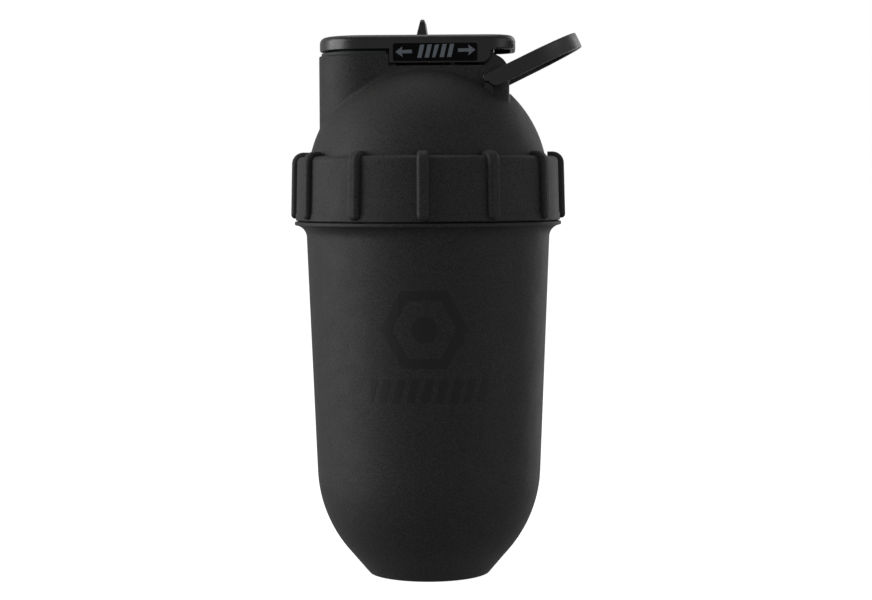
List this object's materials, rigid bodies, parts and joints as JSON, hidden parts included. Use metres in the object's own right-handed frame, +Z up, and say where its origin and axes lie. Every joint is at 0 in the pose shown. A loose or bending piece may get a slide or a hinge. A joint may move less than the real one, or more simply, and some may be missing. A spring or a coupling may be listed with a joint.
{
  "type": "protein shaker bottle",
  "caption": "Round-bottomed shaker cup with a ribbed screw lid, a domed top, an oval drinking neck, a flip cap with sliding cover, and a U shaped carry loop.",
  "frame": {"origin": "on the bottle's axis at the plane it stands on", "axes": "+Z up along the bottle's axis, -X towards the spout, +X towards the hinge and the carry loop, -Y the side the picture shows"},
  "size_m": [0.1059, 0.1, 0.2012],
  "materials": {
    "soft_touch_cup": "soft-touch matt charcoal",
    "soft_touch_lid": "soft-touch matt charcoal",
    "silicone": "matt grey silicone",
    "steel": "ground stainless pin",
    "black_plastic": "polished moulding",
    "black_cover": "semi-gloss moulding with a fine grain",
    "black_loop": "semi-gloss moulding",
    "label_gloss": "gloss panel with grey arrows"
  },
  "bodies": {
    "cup": {"cup": "soft_touch_cup"},
    "seal_carrier": {"lid_seal": "silicone"},
    "lid": {"lid_shell": "soft_touch_lid", "hinge_pin": "steel"},
    "flip": {"flip_plate": "black_plastic", "spout_seal": "silicone"},
    "cover": {"slide_cover": "black_cover", "label_front": "label_gloss", "label_back": "label_gloss"},
    "loop": {"carry_loop": "black_loop"}
  },
  "joints": [
    {"name": "lid_rise", "type": "slide", "parent": "cup", "child": "seal_carrier", "axis": [0, 0, 1], "range_m": [0, 0.024]},
    {"name": "lid_turn", "type": "hinge", "parent": "seal_carrier", "child": "lid", "pos_m": [0, 0, 0.141], "axis": [0, 0, 1], "range_deg": [0, 720]},
    {"name": "flip", "type": "hinge", "parent": "lid", "child": "flip", "pos_m": [0.025, 0, 0.1795], "axis": [0, 1, 0], "range_deg": [0, 80]},
    {"name": "cover_slide", "type": "slide", "parent": "flip", "child": "cover", "axis": [1, 0, 0], "range_m": [0, 0.003]},
    {"name": "loop_swing", "type": "hinge", "parent": "lid", "child": "loop", "pos_m": [0.025, 0, 0.1795], "axis": [0, 1, 0], "range_deg": [0, 60]}
  ],
  "couplings": [
    {"joint": "lid_rise", "follows": "lid_turn", "m_per_rad": 0.0019099}
  ]
}
